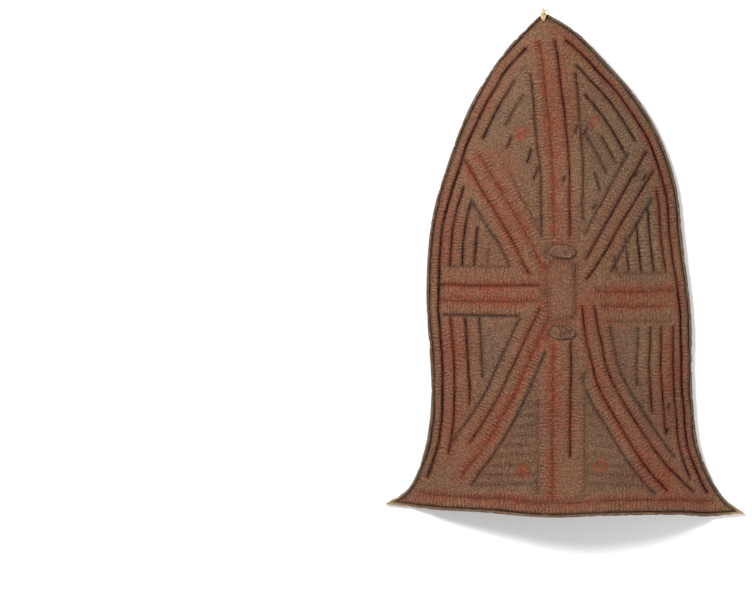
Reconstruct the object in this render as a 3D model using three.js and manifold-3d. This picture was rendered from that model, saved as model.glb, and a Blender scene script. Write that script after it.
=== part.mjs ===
// Hide shield with a pointed head, narrow waist and flared foot corners. Its face is pressed into rounded rolls: a rim,
// a spine, two arms and four braces that meet at a boss, and panels of rolls that run parallel to the rim.
// Two hide straps pass through slits above and below the boss and bind a hand grip to the back; a fibre tie is
// knotted through the head. The shield lies on its back edge with the embossed face up.
//
// Millimetres. +Y runs towards the head, +X to the right as seen from the face, +Z up out of the face.
// The origin is on the floor, under the middle of the bounding box.
import * as THREE from "three";
import { mergeVertices } from "three/addons/utils/BufferGeometryUtils.js";
import Module from "manifold-3d";

const wasm = await Module();
wasm.setup();

// ---- Driving dimensions -------------------------------------------------------------------------------------------

const HIDE = 5.5; // thickness of the hide between its rolls
const CREST = 5.5; // height of a roll above the hide
const BOSS_CREST = 7;
const RIM_ROLL = [6, 25]; // the rim roll's two sides, measured inwards from the cut edge
const HEM_ROLL = [6, 32]; // the same along the foot
const GROOVE_LEFT = 0.7; // height that is left in the line between two rolls
const FOOT_DEPTH = 2.4; // how far a roll's foot is sunk into the hide

const RISE = 0.35; // crown height of the hide's bow, as a share of its half width
const FOOT_RISE_LOSS = 0.06; // how much flatter the bow is at the foot
const HEAD_LIFT = 24; // height of the head's point above the floor
const HEAD_LIFT_FROM = 250; // where the edge starts to leave the floor
const WAIST_Y = -300; // below the waist the corners flare out flat
const WING_SLOPE = 0.15; // growth of the bowed part's half width below the waist
const WING_BLEND = 0.1; // softness of the bend between the bow and the flat wings

const STRAP = { across: 64, width: 24, thick: 5, gap: 0.5 }; // a strap's bridge over the face and its band
const STRAP_Y = [27, -152]; // the two straps' places along the spine
const GRIP = { wide: 26, thick: 15, standOff: 44, clear: 1.8 }; // standOff is from the back to the bar's middle
const TIE = { radius: 2, hole: 4.6, inset: 12, clear: 2.2, loop: 7.5, rise: 13 };

// ---- Outline and guide lines, each as few points as its shape needs --------------------------------------------------

const LEFT_EDGE = line([
  [-403.5, -538], [-352, -503], [-317, -420], [-301, -300], [-312, -60],
  [-300, 100], [-268, 215], [-212, 360], [-134, 480], [-60, 556],
]);
const RIGHT_EDGE = line([
  [403.5, -560], [353, -520], [303, -420], [286, -290], [283, -120], [264, 50],
  [250, 172], [215, 280], [163, 370], [93, 450], [24, 520], [-40, 560],
]);
const FOOT_EDGE = line([
  [-403.5, -538], [-300, -549], [-200, -552], [-50, -562], [100, -559], [240, -560], [320, -566], [403.5, -560],
]);
const HEAD_EDGE = line([[-60, 556], [-40, 560]]);
const SPINE = line([[-14, -568], [-13, -150], [-13, 60], [-18, 300], [-36, 465], [-50, 558]]);

const UPPER_SPINE = line([[-13, 50], [-14, 200], [-20, 340], [-36, 465], [-42, 515]]);
const LOWER_SPINE = line([[-13, -172], [-14, -350], [-14, -540]]);
const LEFT_ARM = line([[-283, -65], [-70, -66]]);
const RIGHT_ARM = line([[46, -78], [252, -77]]);
const UPPER_LEFT_BRACE = line([[-47, -12], [-66, 15], [-122, 122], [-148, 165], [-196, 250]]);
const UPPER_RIGHT_BRACE = line([[36, -4], [88, 84], [119, 148], [155, 204], [186, 258]]);
const LOWER_LEFT_BRACE = line([[-57, -92], [-106, -205], [-142, -277], [-228, -412], [-300, -492]]);
const LOWER_RIGHT_BRACE = line([[56, -92], [64, -140], [86, -216], [119, -292], [212, -437], [296, -524]]);
const BOSS = line([[-12, -128], [-12, 8]]);
const HUB = [[-50, -172], [34, -172], [34, 46], [-50, 46]]; // plain field round the boss and the two straps

/** Smooth plan curve through a few [x, y] points. */
function line(points) {
  const corners = points.map(([x, y]) => new THREE.Vector3(x, y, 0));
  return new THREE.CatmullRomCurve3(corners, false, "centripetal");
}

// ---- The bowed sheet ------------------------------------------------------------------------------------------------

/** x of a rising curve at the height y, held at its ends. */
function xAt(curve, y) {
  curve.table ??= curve.getSpacedPoints(160);
  const after = curve.table.findIndex((point) => point.y >= y);
  if (after === 0) return curve.table[0].x;
  if (after < 0) return curve.table.at(-1).x;
  const [low, high] = [curve.table[after - 1], curve.table[after]];
  return THREE.MathUtils.mapLinear(y, low.y, high.y, low.x, high.x);
}

/** Half width of the bowed part on one side of the spine: the outline's own, and less in the flat foot wings. */
function halfWidth(edge, y) {
  const width = Math.abs(xAt(edge, y) - xAt(SPINE, y));
  if (y >= WAIST_Y) return width;
  const waist = Math.abs(xAt(edge, WAIST_Y) - xAt(SPINE, WAIST_Y));
  return Math.min(width, waist + WING_SLOPE * (WAIST_Y - y));
}

/** Height of the hide's back over the floor. */
function backHeight(x, y) {
  const [left, right] = [halfWidth(LEFT_EDGE, y), halfWidth(RIGHT_EDGE, y)];
  const fromSpine = x - xAt(SPINE, y);
  const share = fromSpine / (fromSpine < 0 ? left : right);
  const bow = 1 - share * share;
  const softened = Math.abs(bow) < WING_BLEND ? (bow + WING_BLEND) ** 2 / (4 * WING_BLEND) : Math.max(bow, 0);
  const rise = RISE - FOOT_RISE_LOSS * THREE.MathUtils.smoothstep(-y, -WAIST_Y - 50, 570);
  const lift = HEAD_LIFT * THREE.MathUtils.smoothstep(y, HEAD_LIFT_FROM, 560);
  return lift + (rise * (left + right) * softened) / 2;
}

/** Point over the plan place x, y at the height above the hide's plain face, measured square to the hide. */
function onFace(x, y, height = 0) {
  const slopeX = (backHeight(x + 1, y) - backHeight(x - 1, y)) / 2;
  const slopeY = (backHeight(x, y + 1) - backHeight(x, y - 1)) / 2;
  const slant = Math.hypot(1, slopeX, slopeY);
  return new THREE.Vector3(x, y, backHeight(x, y) + (HIDE + height) * slant);
}

// ---- Solids ---------------------------------------------------------------------------------------------------------

/** Geometry of vertices and triangles, turned so that its faces point out. */
function closedGeometry(vertices, triangles) {
  const geometry = new THREE.BufferGeometry().setFromPoints(vertices);
  geometry.setIndex(triangles.flat());
  return volumeOf(geometry) < 0 ? closedGeometry(vertices, triangles.map(([a, b, c]) => [a, c, b])) : geometry;
}

function volumeOf(geometry) {
  const corner = (n) => new THREE.Vector3().fromBufferAttribute(geometry.attributes.position, geometry.index.getX(n));
  let sixfold = 0;
  for (let n = 0; n < geometry.index.count; n += 3) sixfold += corner(n).dot(corner(n + 1).cross(corner(n + 2)));
  return sixfold / 6;
}

/**
 * A profile skinned from station to station and capped. Each station lists the same number of 3-D points: the top
 * side from end to end, then the foot on the way back, with a foot point under each top point but the two ends.
 */
function skinned(stations) {
  const size = stations[0].length;
  const last = (stations.length - 1) * size;
  const triangles = [];
  for (let row = 0; row < stations.length - 1; row++) {
    for (let n = 0; n < size; n++) {
      const [a, b] = [row * size + n, row * size + ((n + 1) % size)];
      triangles.push([a, b, b + size], [a, b + size, a + size]);
    }
  }
  const cap = (a, b, c) => triangles.push([c, b, a], [last + a, last + b, last + c]);
  for (let n = 0; n < size / 2; n++) {
    const [under, underNext] = [(size - n) % size, size - n - 1];
    if (underNext !== n + 1) cap(n, n + 1, underNext);
    if (under !== n) cap(n, underNext, under);
  }
  return closedGeometry(stations.flat(), triangles);
}

/** A manifold solid of a geometry that is closed once its shared vertices are merged. */
function solid(geometry) {
  const bare = new THREE.BufferGeometry();
  bare.setAttribute("position", geometry.attributes.position);
  bare.setIndex(geometry.index);
  const merged = mergeVertices(bare, 1e-4);
  const mesh = new wasm.Mesh({
    numProp: 3,
    vertProperties: new Float32Array(merged.attributes.position.array),
    triVerts: new Uint32Array(merged.index.array),
  });
  return new wasm.Manifold(mesh);
}

function geometryOf(body) {
  const mesh = body.getMesh();
  const geometry = new THREE.BufferGeometry();
  geometry.setAttribute("position", new THREE.BufferAttribute(new Float32Array(mesh.vertProperties), 3));
  geometry.setIndex([...mesh.triVerts]);
  return geometry;
}

/** Plan point on a guide line, moved sideways; side 1 is left of the line's direction and -1 is right. */
function beside(guide, share, offset, side) {
  const point = guide.getPointAt(share);
  const tangent = guide.getTangentAt(share);
  return new THREE.Vector2(point.x - tangent.y * offset * side, point.y + tangent.x * offset * side);
}

// A roll's section from groove to groove, as shares of its width and of its crest's height.
const ROUND = [[0.2, 0.72], [0.5, 1], [0.8, 0.72]];
const FLAT = [[0.27, 0.95], [0.73, 0.95]];

/**
 * Rolls side by side along a guide line, from its share `from` to its share `to`. The lines between the rolls lie at
 * the offsets in `grooves`, and the crests come down to `ends` times their height at the two ends.
 */
function rolls(guide, grooves, options = {}) {
  const { from = 0, to = 1, steps = 5, side = 1, crest = CREST, ends = [0.35, 0.35], section = ROUND } = options;
  const top = [];
  for (let n = 1; n < grooves.length; n++) {
    const width = grooves[n] - grooves[n - 1];
    if (n > 1) top.push(new THREE.Vector2(grooves[n - 1], GROOVE_LEFT));
    for (const [across, height] of section) {
      top.push(new THREE.Vector2(grooves[n - 1] + across * width, height * crest));
    }
  }
  const foot = top.map((point) => new THREE.Vector2(point.x, -FOOT_DEPTH)).reverse();
  const [first, last] = [grooves[0], grooves.at(-1)].map((offset) => new THREE.Vector2(offset, -FOOT_DEPTH));
  const profile = [first, ...top, last, ...foot];

  const stations = [];
  for (let n = 0; n <= steps; n++) {
    const share = THREE.MathUtils.lerp(from, to, n / steps);
    const fade = n === 0 ? ends[0] : n === steps ? ends[1] : 1;
    stations.push(profile.map((point) => {
      const place = beside(guide, share, point.x, side);
      return onFace(place.x, place.y, point.y > 0 ? point.y * fade : point.y);
    }));
  }
  return solid(skinned(stations));
}

/** Upright prism over a plan polygon, taller than the shield. */
function prism(corners) {
  const geometry = new THREE.ExtrudeGeometry(new THREE.Shape(corners), { depth: 300, bevelEnabled: false });
  return solid(geometry.translate(0, 0, -60));
}

/** Plan points along one side of a brace or arm, for the border of a panel. */
function border(guide, offset, side, from, to, steps = 6) {
  return Array.from({ length: steps + 1 }, (_, n) =>
    beside(guide, THREE.MathUtils.lerp(from, to, n / steps), offset, side));
}

// ---- The hide -------------------------------------------------------------------------------------------------------

/** The plain bowed sheet: a grid between the four edges, on the face and on the back. */
function sheet(columns = 12, rows = 20) {
  const corner = { a: FOOT_EDGE.getPoint(0), b: FOOT_EDGE.getPoint(1), c: HEAD_EDGE.getPoint(0), d: HEAD_EDGE.getPoint(1) };
  const plan = (u, v) => {
    const point = new THREE.Vector3();
    point.addScaledVector(LEFT_EDGE.getPointAt(v), 1 - u).addScaledVector(RIGHT_EDGE.getPointAt(v), u);
    point.addScaledVector(FOOT_EDGE.getPointAt(u), 1 - v).addScaledVector(HEAD_EDGE.getPointAt(u), v);
    point.addScaledVector(corner.a, -(1 - u) * (1 - v)).addScaledVector(corner.b, -u * (1 - v));
    return point.addScaledVector(corner.c, -(1 - u) * v).addScaledVector(corner.d, -u * v);
  };
  const vertices = [];
  for (const height of [0, -HIDE]) {
    for (let row = 0; row <= rows; row++) {
      for (let column = 0; column <= columns; column++) {
        const { x, y } = plan(column / columns, row / rows);
        vertices.push(onFace(x, y, height));
      }
    }
  }
  const across = columns + 1;
  const back = across * (rows + 1);
  const triangles = [];
  const quad = (a, b, c, d) => triangles.push([a, b, c], [a, c, d]);
  for (let row = 0; row < rows; row++) {
    for (let column = 0; column < columns; column++) {
      const a = row * across + column;
      quad(a, a + 1, a + across + 1, a + across);
      quad(back + a, back + a + across, back + a + across + 1, back + a + 1);
    }
    const [left, right] = [row * across, row * across + columns];
    quad(left, left + across, back + left + across, back + left);
    quad(right, back + right, back + right + across, right + across);
  }
  for (let column = 0; column < columns; column++) {
    const [foot, head] = [column, rows * across + column];
    quad(foot, back + foot, back + foot + 1, foot + 1);
    quad(head, head + 1, back + head + 1, back + head);
  }
  return solid(closedGeometry(vertices, triangles));
}

/** The rolls that cross the whole face: rim, hem, spine, arms, braces and boss. */
function mainRolls() {
  const long = { steps: 9 };
  const hub = prism(HUB.map((corner) => new THREE.Vector2(...corner)));
  const round = [
    rolls(LEFT_EDGE, RIM_ROLL, { side: -1, from: 0.05, steps: 18, ends: [0.3, 0.8] }),
    rolls(RIGHT_EDGE, RIM_ROLL, { side: 1, from: 0.05, steps: 18, ends: [0.3, 0.8] }),
    rolls(FOOT_EDGE, HEM_ROLL, { side: 1, from: 0.06, to: 0.94, steps: 14, ends: [0.3, 0.3] }),
    rolls(BOSS, [-34, 34], { steps: 4, crest: BOSS_CREST, ends: [0.3, 0.3] }),
  ];
  const across = [
    rolls(UPPER_SPINE, [-52, -19, 19, 50], { side: 1, steps: 9, ends: [0.35, 0.8] }),
    rolls(LOWER_SPINE, [-52, -19, 19, 52], { side: 1, steps: 7, ends: [0.35, 0.8] }),
    rolls(LEFT_ARM, [-48, -17, 17, 50], { side: 1, ends: [0.8, 0.35] }),
    rolls(RIGHT_ARM, [-50, -17, 16, 56], { side: 1, ends: [0.35, 0.8] }),
    rolls(UPPER_LEFT_BRACE, [-34, 0, 31, 63], { side: 1, steps: 6, from: 0.05, ends: [0.35, 0.6] }),
    rolls(UPPER_RIGHT_BRACE, [-62, -36, 0, 32], { side: 1, steps: 6, ends: [0.35, 0.6] }),
    rolls(LOWER_LEFT_BRACE, [-32, 0, 30, 58], { side: 1, ...long }),
    rolls(LOWER_RIGHT_BRACE, [-61, -32, 0, 26], { side: 1, ...long }),
  ];
  return [...round, ...across.map((body) => body.subtract(hub))];
}

/** Rolls parallel to the rim that fill the panels between the main rolls; each panel's plan polygon trims them. */
function panelRolls() {
  const left = { side: -1, ends: [1, 1], section: FLAT };
  const right = { side: 1, ends: [1, 1], section: FLAT };
  const outside = 420;
  const panels = {
    upperLeftSide: [rolls(LEFT_EDGE, [27, 51, 77, 105], { ...left, from: 0.44, to: 0.66 }),
      [[-outside, -6], [-128, -6], ...border(UPPER_LEFT_BRACE, 66, 1, 0.2, 0.98), [-outside, 230]]],
    upperRightSide: [rolls(RIGHT_EDGE, [25, 48, 76, 106, 133], { ...right, from: 0.43, to: 0.66 }),
      [[outside, -18], [98, -18], ...border(UPPER_RIGHT_BRACE, 65, -1, 0.16, 0.98), [outside, 230]]],
    lowerLeftSide: [rolls(LEFT_EDGE, [27, 53, 83, 110], { ...left, from: 0.13, to: 0.4, steps: 7 }),
      [[-outside, -118], [-110, -118], ...border(LOWER_LEFT_BRACE, 35, -1, 0.06, 0.82), [-outside, -440]]],
    lowerRightSide: [rolls(RIGHT_EDGE, [23, 46, 73, 100, 130], { ...right, from: 0.11, to: 0.38, steps: 7 }),
      [[outside, -140], [98, -140], ...border(LOWER_RIGHT_BRACE, 29, 1, 0.06, 0.82), [outside, -470]]],
    upperLeftHead: [rolls(LEFT_EDGE, [28, 58, 90], { ...left, from: 0.6, to: 0.93, steps: 8 }),
      [...border(UPPER_LEFT_BRACE, 37, -1, 0.3, 0.98), [-300, 330], [-110, 520], ...border(UPPER_SPINE, 53, 1, 0.95, 0.25)]],
    upperRightHead: [rolls(RIGHT_EDGE, [28, 57, 87, 117, 149, 180], { ...right, from: 0.55, to: 0.9, steps: 8 }),
      [...border(UPPER_RIGHT_BRACE, 35, 1, 0.3, 0.98), [320, 330], [60, 520], ...border(UPPER_SPINE, 54, -1, 0.95, 0.25)]],
  };
  return Object.values(panels).map(([body, corners]) =>
    body.intersect(prism(corners.map((corner) => new THREE.Vector2(...corner)))));
}

/** Upright boxes that cut the slits of the two straps. */
function slits() {
  const [wide, long] = [STRAP.thick + 2 * STRAP.gap, STRAP.width + 2 * STRAP.gap];
  return STRAP_Y.flatMap((y) => [-1, 1].map((side) => {
    const x = xAt(SPINE, y) + (side * (STRAP.across - STRAP.thick)) / 2;
    return solid(new THREE.BoxGeometry(wide, long, 60).translate(x, y, onFace(x, y).z));
  }));
}

/** Place of the hole that the tie is knotted through. */
function tieHole() {
  const head = HEAD_EDGE.getPoint(0.5);
  return new THREE.Vector2(head.x - 1, head.y - TIE.inset);
}

function hide() {
  const hole = tieHole();
  const drill = new THREE.CylinderGeometry(TIE.hole, TIE.hole, 60, 10).rotateX(Math.PI / 2);
  let body = sheet();
  for (const roll of [...mainRolls(), ...panelRolls()]) body = body.add(roll);
  for (const slit of slits()) body = body.subtract(slit);
  return geometryOf(body.subtract(solid(drill.translate(hole.x, hole.y, onFace(hole.x, hole.y).z))));
}

// ---- Straps, grip and tie -------------------------------------------------------------------------------------------

/** Rounded plan rectangle as a shape or a hole. */
function roundedRectangle(Path, width, height, radius) {
  const [x, y] = [width / 2, height / 2];
  const path = new Path().moveTo(-x + radius, -y);
  path.lineTo(x - radius, -y).absarc(x - radius, -y + radius, radius, -Math.PI / 2, 0, false);
  path.lineTo(x, y - radius).absarc(x - radius, y - radius, radius, 0, Math.PI / 2, false);
  path.lineTo(-x + radius, y).absarc(-x + radius, y - radius, radius, Math.PI / 2, Math.PI, false);
  path.lineTo(-x, -y + radius).absarc(-x + radius, -y + radius, radius, Math.PI, 1.5 * Math.PI, false);
  return path;
}

/** Flat band through two slits: it bridges the face and holds the grip's foot against the back. */
function strap(y) {
  const inside = HIDE + GRIP.thick + 2 * GRIP.clear + 1;
  const outline = roundedRectangle(THREE.Shape, STRAP.across, inside + 2 * STRAP.thick, 5);
  outline.holes.push(roundedRectangle(THREE.Path, STRAP.across - 2 * STRAP.thick, inside, 2));
  const bevel = 1;
  const band = new THREE.ExtrudeGeometry(outline, {
    depth: STRAP.width - 2 * bevel, bevelThickness: bevel, bevelSize: bevel, bevelOffset: -bevel, bevelSegments: 1,
    curveSegments: 3,
  });
  const x = xAt(SPINE, y);
  const faceTop = onFace(x, y).z + 1;
  return band.rotateX(Math.PI / 2).translate(x, y + STRAP.width / 2 - bevel, faceTop - inside / 2);
}

/** Bar of rolled hide that bows away from the back between its two feet. */
function grip() {
  const [upper, lower] = STRAP_Y;
  const x = xAt(SPINE, upper);
  const backAt = (y) => backHeight(x, y) - GRIP.clear - GRIP.thick / 2;
  const out = backAt((upper + lower) / 2) - GRIP.standOff + GRIP.thick / 2;
  const foot = STRAP.width / 2;
  const path = new THREE.CatmullRomCurve3([
    [upper + foot + 6, backAt(upper)], [upper - foot, backAt(upper)], [upper - foot - 22, (backAt(upper) + out) / 2],
    [upper - foot - 44, out], [lower + foot + 44, out], [lower + foot + 22, (backAt(lower) + out) / 2],
    [lower + foot, backAt(lower)], [lower - foot - 6, backAt(lower)],
  ].map(([y, z]) => new THREE.Vector3(x, y, z)), false, "centripetal");
  const section = new THREE.Shape(new THREE.EllipseCurve(0, 0, GRIP.wide / 2, GRIP.thick / 2).getPoints(12).slice(1));
  return new THREE.ExtrudeGeometry(section, { extrudePath: path, steps: 26 });
}

/** Tube of one strand along a closed or open run of points. */
function strand(points, closed, steps, radius = TIE.radius) {
  const path = new THREE.CatmullRomCurve3(points.map((point) => new THREE.Vector3(...point)), closed, "centripetal");
  const section = new THREE.Shape(new THREE.EllipseCurve(0, 0, radius, radius).getPoints(8).slice(1));
  return solid(new THREE.ExtrudeGeometry(section, { extrudePath: path, steps }));
}

/** Fibre tie: a ring of strand through the hole and round the edge, with a knot, a small loop and a loose end. */
function tie() {
  const hole = tieHole();
  const over = (y) => onFace(hole.x, y, CREST).z + TIE.radius + 1;
  const under = (y) => backHeight(hole.x, y) - TIE.radius - TIE.clear;
  const beyond = HEAD_EDGE.getPoint(0.5).y + TIE.radius + TIE.clear;
  const half = (hole.y + beyond) / 2;
  const middle = (over(hole.y) + under(hole.y)) / 2;
  const ring = strand([
    [hole.x, hole.y, middle], [hole.x, hole.y, over(hole.y)], [hole.x, half, over(half) + 2],
    [hole.x, beyond, over(beyond)], [hole.x, beyond + 0.6, (over(beyond) + under(beyond)) / 2],
    [hole.x, beyond, under(beyond)], [hole.x, half, under(half) - 2], [hole.x, hole.y, under(hole.y)],
  ], false, 20);
  const close = strand([
    [hole.x, hole.y, under(hole.y)], [hole.x, hole.y, middle - 2], [hole.x, hole.y, middle + 1],
  ], false, 3);
  const [x, y, z] = [hole.x, beyond + 1.2, over(beyond) - 1];
  const knot = solid(new THREE.SphereGeometry(2.4 * TIE.radius, 8, 6).translate(x, y, z));
  const loop = strand([
    [x, y, z], [x + 2, y + TIE.loop, z + 2], [x + TIE.loop, y + TIE.loop + 1, z + 2], [x + 2 * TIE.loop, y + 1, z + 1],
    [x + TIE.loop + 2, y - 0.5, z], [x + 1, y, z - 1],
  ], false, 14);
  const end = strand([[x, y, z], [x - 2, y + TIE.rise / 2, z + 1], [x - 6, y + TIE.rise, z + 1]], false, 4);
  return geometryOf(ring.add(close).add(knot).add(loop).add(end));
}

// ---- Assembly -------------------------------------------------------------------------------------------------------

function piece(name, geometry, color, roughness) {
  const mesh = new THREE.Mesh(geometry, new THREE.MeshStandardMaterial({ color, roughness, metalness: 0 }));
  mesh.name = name;
  return mesh;
}

const shield = new THREE.Group();
shield.add(
  piece("hide", hide(), "#76533f", 0.85),
  piece("upper_strap", strap(STRAP_Y[0]), "#6f5540", 0.9),
  piece("lower_strap", strap(STRAP_Y[1]), "#6f5540", 0.9),
  piece("hand_grip", grip(), "#5b4232", 0.8),
  piece("head_tie", tie(), "#c9b58c", 0.95),
);
const extent = new THREE.Box3().setFromObject(shield, true);
const centre = extent.getCenter(new THREE.Vector3());
shield.position.set(-centre.x, -centre.y, -extent.min.z);

export default shield;
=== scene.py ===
"""Dresses a pressed hide shield: the hide with its rolls, two straps, the hand grip and the fibre tie.

The plan of the shield is worked in millimetres, as its maker would lay it out: +Y towards the pointed head
and +X to the right as seen from the face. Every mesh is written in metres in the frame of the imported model.
"""

import logging
import math
from collections.abc import Callable, Sequence
from dataclasses import astuple, dataclass, field
from enum import Enum
from functools import cached_property
from typing import ClassVar

import bmesh
import bpy
import numpy as np
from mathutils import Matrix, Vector
from mathutils.kdtree import KDTree


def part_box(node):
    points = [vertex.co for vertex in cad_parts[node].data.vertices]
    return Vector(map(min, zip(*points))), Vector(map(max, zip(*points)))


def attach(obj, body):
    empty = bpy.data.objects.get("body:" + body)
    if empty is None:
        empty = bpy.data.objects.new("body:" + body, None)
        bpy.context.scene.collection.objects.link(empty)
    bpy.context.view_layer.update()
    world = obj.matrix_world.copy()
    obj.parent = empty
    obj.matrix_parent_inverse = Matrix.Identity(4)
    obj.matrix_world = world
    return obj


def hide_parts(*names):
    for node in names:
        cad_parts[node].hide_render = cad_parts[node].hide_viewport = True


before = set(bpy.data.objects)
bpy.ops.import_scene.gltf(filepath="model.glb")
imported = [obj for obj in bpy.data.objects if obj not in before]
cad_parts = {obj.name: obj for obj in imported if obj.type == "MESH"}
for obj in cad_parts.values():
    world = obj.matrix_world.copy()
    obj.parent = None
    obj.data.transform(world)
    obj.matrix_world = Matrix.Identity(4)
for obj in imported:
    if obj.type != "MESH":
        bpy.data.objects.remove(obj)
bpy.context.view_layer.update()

MM = 0.001
STEP = 2.5  # spacing of the samples along a line of the plan, in millimetres
SPAN_SAMPLES = 48  # samples between two points of a curve, before it is spaced evenly
LOG = logging.getLogger("hide_shield")

Array = np.ndarray
Points = Sequence[tuple[float, ...]]
Section = Callable[[Array, Array], tuple[Array, Array]]
Colour = tuple[float, float, float, float]
BMesh = bmesh.types.BMesh
Mesh = bpy.types.Mesh
Material = bpy.types.Material


# ---- Curves and noise ----


def smooth_line(points: Points, step: float = STEP) -> Array:
    """Runs a centripetal Catmull-Rom curve through a few points.

    Args:
        points: Points that the curve passes through, in millimetres.
        step: Spacing of the samples along the curve.

    Returns:
        Evenly spaced samples of the curve, one row each.
    """
    knots = np.asarray(points, float)
    padded = np.vstack([2 * knots[0] - knots[1], knots, 2 * knots[-1] - knots[-2]])
    pieces = []
    for before, start, end, after in zip(padded, padded[1:], padded[2:], padded[3:]):
        t1 = math.sqrt(np.linalg.norm(start - before))
        t2 = t1 + math.sqrt(np.linalg.norm(end - start))
        t3 = t2 + math.sqrt(np.linalg.norm(after - end))
        t = np.linspace(t1, t2, SPAN_SAMPLES, endpoint=False)[:, None]
        a1 = (t1 - t) / t1 * before + t / t1 * start
        a2 = (t2 - t) / (t2 - t1) * start + (t - t1) / (t2 - t1) * end
        a3 = (t3 - t) / (t3 - t2) * end + (t - t2) / (t3 - t2) * after
        b1 = (t2 - t) / t2 * a1 + t / t2 * a2
        b2 = (t3 - t) / (t3 - t1) * a2 + (t - t1) / (t3 - t1) * a3
        pieces.append((t2 - t) / (t2 - t1) * b1 + (t - t1) / (t2 - t1) * b2)
    return resample(np.vstack([*pieces, knots[-1:]]), step)


def resample(path: Array, step: float) -> Array:
    """Spaces the points of a path evenly, about a step apart."""
    length = path_length(path)
    count = max(2, round(length[-1] / step) + 1)
    wanted = np.linspace(0, length[-1], count)
    return np.column_stack([np.interp(wanted, length, column) for column in path.T])


def path_length(path: Array) -> Array:
    """Length of a path from its start up to each of its points."""
    return np.concatenate([[0.0], np.cumsum(np.linalg.norm(np.diff(path, axis=0), axis=1))])


def along_path(path: Array, share: Array) -> Array:
    """Places on a path at shares of its length, from 0 to 1."""
    length = path_length(path)
    return np.stack([np.interp(share * length[-1], length, column) for column in path.T], axis=-1)


def directions(path: Array) -> Array:
    """Unit direction of a path at each of its points."""
    tangents = np.gradient(path, axis=0)
    return tangents / np.linalg.norm(tangents, axis=1, keepdims=True)


def smoothstep(values: Array, low: float, high: float) -> Array:
    """Eases from 0 at low to 1 at high."""
    t = np.clip((values - low) / (high - low), 0, 1)
    return t * t * (3 - 2 * t)


def soft_noise(x: Array, y: Array, cell: float, seed: int) -> Array:
    """Smooth seeded noise between -1 and 1.

    Args:
        x: Places across, in millimetres.
        y: Places along, in millimetres.
        cell: Size of one lump of the noise, in millimetres.
        seed: Chooses the noise.

    Returns:
        The noise at each place.
    """
    size = 64
    lattice = np.random.default_rng(seed).uniform(-1, 1, (size, size))
    column, row = x / cell + 512.37, y / cell + 512.71  # off the lattice, and never below 0
    left, low = np.floor(column).astype(int), np.floor(row).astype(int)
    across, up = smoothstep(column - left, 0, 1), smoothstep(row - low, 0, 1)
    near, far = (
        lattice[line % size, left % size] * (1 - across) + lattice[line % size, (left + 1) % size] * across
        for line in (low, low + 1)
    )
    return near * (1 - up) + far * up


def blurred(grid: Array, passes: int) -> Array:
    """Evens out a grid of values by a number of passes of a small cross-shaped mean."""
    for _ in range(passes):
        padded = np.pad(grid, 1, mode="edge")
        around = padded[:-2, 1:-1] + padded[2:, 1:-1] + padded[1:-1, :-2] + padded[1:-1, 2:]
        grid = 0.5 * grid + 0.125 * around
    return grid


def squarish(turn: Array, power: float) -> tuple[Array, Array]:
    """Cosine and sine of a turn, drawn out towards the corners of a square as the power falls from 1."""
    cosine, sine = np.cos(turn), np.sin(turn)
    return np.sign(cosine) * np.abs(cosine) ** power, np.sign(sine) * np.abs(sine) ** power


def beyond(x: Array, y: Array, centre: tuple[float, float], half: tuple[float, float]) -> Array:
    """How far each place lies outside a rectangle; less than 0 inside it."""
    return np.maximum(np.abs(x - centre[0]) - half[0], np.abs(y - centre[1]) - half[1])


class Nearest:
    """Finds the nearest of many points of the plan."""

    def __init__(self, points: Array) -> None:
        """Plants the points in a search tree."""
        self.tree = KDTree(len(points))
        for index, (x, y) in enumerate(points):
            self.tree.insert((x, y, 0.0), index)
        self.tree.balance()

    def find(self, x: Array, y: Array) -> tuple[Array, Array]:
        """Number of the nearest point and its distance, for each place in turn."""
        found = [self.tree.find((a, b, 0.0))[1:] for a, b in zip(x.ravel(), y.ravel())]
        return np.array([index for index, _ in found]), np.array([distance for _, distance in found])


# ---- The plan: outline, guide lines and grooves ----

LEFT_EDGE = smooth_line([
    (-403.5, -538), (-352, -503), (-317, -420), (-301, -300), (-312, -60),
    (-300, 100), (-268, 215), (-212, 360), (-134, 480), (-60, 556),
])
RIGHT_EDGE = smooth_line([
    (403.5, -560), (353, -520), (303, -420), (286, -290), (283, -120), (264, 50),
    (250, 172), (215, 280), (163, 370), (93, 450), (24, 520), (-40, 560),
])
FOOT_EDGE = smooth_line([
    (-403.5, -538), (-300, -549), (-200, -552), (-50, -562),
    (100, -559), (240, -560), (320, -566), (403.5, -560),
])
HEAD_EDGE = smooth_line([(-60, 556), (-40, 560)])
SPINE = smooth_line([(-14, -568), (-13, -150), (-13, 60), (-18, 300), (-36, 465), (-50, 558)])
HEAD_Y = 560.0

UPPER_SPINE = smooth_line([(-13, 50), (-15, 200), (-21, 300), (-29, 390), (-38, 470), (-48, 540)])
LOWER_SPINE = smooth_line([(-14, -172), (-14, -350), (-15, -530)])
LEFT_ARM = smooth_line([(-286, -65), (-160, -66), (-60, -65)])
RIGHT_ARM = smooth_line([(40, -78), (150, -79), (256, -77)])
UPPER_LEFT_BRACE = smooth_line([(-50, -12), (-68, 15), (-99, 82), (-124, 122), (-150, 165), (-197, 250)])
UPPER_RIGHT_BRACE = smooth_line([(16, -32), (36, 2), (101, 118), (175, 247), (184, 262)])
LOWER_LEFT_BRACE = smooth_line([
    (-60, -92), (-90, -158), (-130, -248), (-180, -342), (-216, -395), (-262, -456),
])
LOWER_RIGHT_BRACE = smooth_line([
    (60, -93), (71, -163), (101, -262), (145, -337), (211, -435), (292, -516),
])


class Field(Enum):
    """Which side of a groove is plain field instead of a roll."""

    NEITHER = (False, False)
    LEFT = (True, False)
    RIGHT = (False, True)
    BOTH = (True, True)


@dataclass(frozen=True)
class Press:
    """How a groove was pressed: its painted shadow line and the painted shade of its valley, its depth and how
    far the hide rises beside it.
    """

    core: float
    dark: float
    sink: float
    reach: float
    cusp: float


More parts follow.
